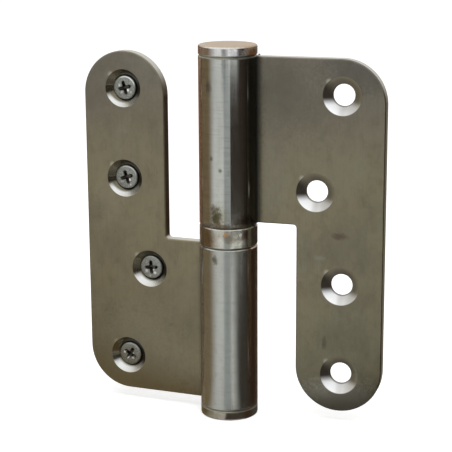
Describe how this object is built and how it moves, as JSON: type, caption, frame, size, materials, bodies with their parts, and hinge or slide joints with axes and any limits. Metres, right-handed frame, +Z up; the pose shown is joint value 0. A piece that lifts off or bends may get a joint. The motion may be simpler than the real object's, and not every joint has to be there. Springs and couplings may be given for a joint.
{
  "type": "lift-off hinge",
  "caption": "Stainless steel lift-off door hinge with rounded leaves, rolled knuckles, bearing ring and fixed pin; the upper half turns and lifts off.",
  "frame": {"origin": "on the pin's axis, at the level of the leaves' lower edges", "axes": "+Z up along the pin, which is the way the upper half lifts off; -X towards the lower leaf, which lies in the XZ plane; -Y is the side of the countersinks, the viewer's side; +Y is the back, which is screwed to the frame"},
  "size_m": [0.0894, 0.0263, 0.108],
  "materials": {
    "leaf_steel": "satin stainless sheet, brushed along the pin, faintly stained",
    "pin_steel": "ground stainless bar",
    "cap_steel": "turned and polished stainless",
    "ring_steel": "turned stainless, brown stains and a rust spot",
    "screw_zinc": "dull zinc-plated steel"
  },
  "bodies": {
    "lower_half": {"lower_leaf": "leaf_steel", "hinge_pin": "pin_steel", "bottom_cap": "cap_steel", "bearing_race": "ring_steel", "leaf_screws": "screw_zinc"},
    "ball_set": {"bearing_balls": "pin_steel"},
    "bearing": {"bearing_case": "ring_steel"},
    "upper_half": {"upper_leaf": "leaf_steel", "top_cap": "cap_steel"}
  },
  "joints": [
    {"name": "swing", "type": "hinge", "parent": "lower_half", "child": "bearing", "pos_m": [0, 0, 0.0508], "axis": [0, 0, 1], "range_deg": [-184, 120]},
    {"name": "ball_roll", "type": "hinge", "parent": "lower_half", "child": "ball_set", "pos_m": [0, 0, 0.0499], "axis": [0, 0, 1], "range_deg": [-92, 60]},
    {"name": "lift_off", "type": "slide", "parent": "bearing", "child": "upper_half", "axis": [0, 0, 1], "range_m": [0, 0.042]}
  ],
  "couplings": [
    {"joint": "ball_roll", "follows": "swing", "ratio": 0.5}
  ]
}
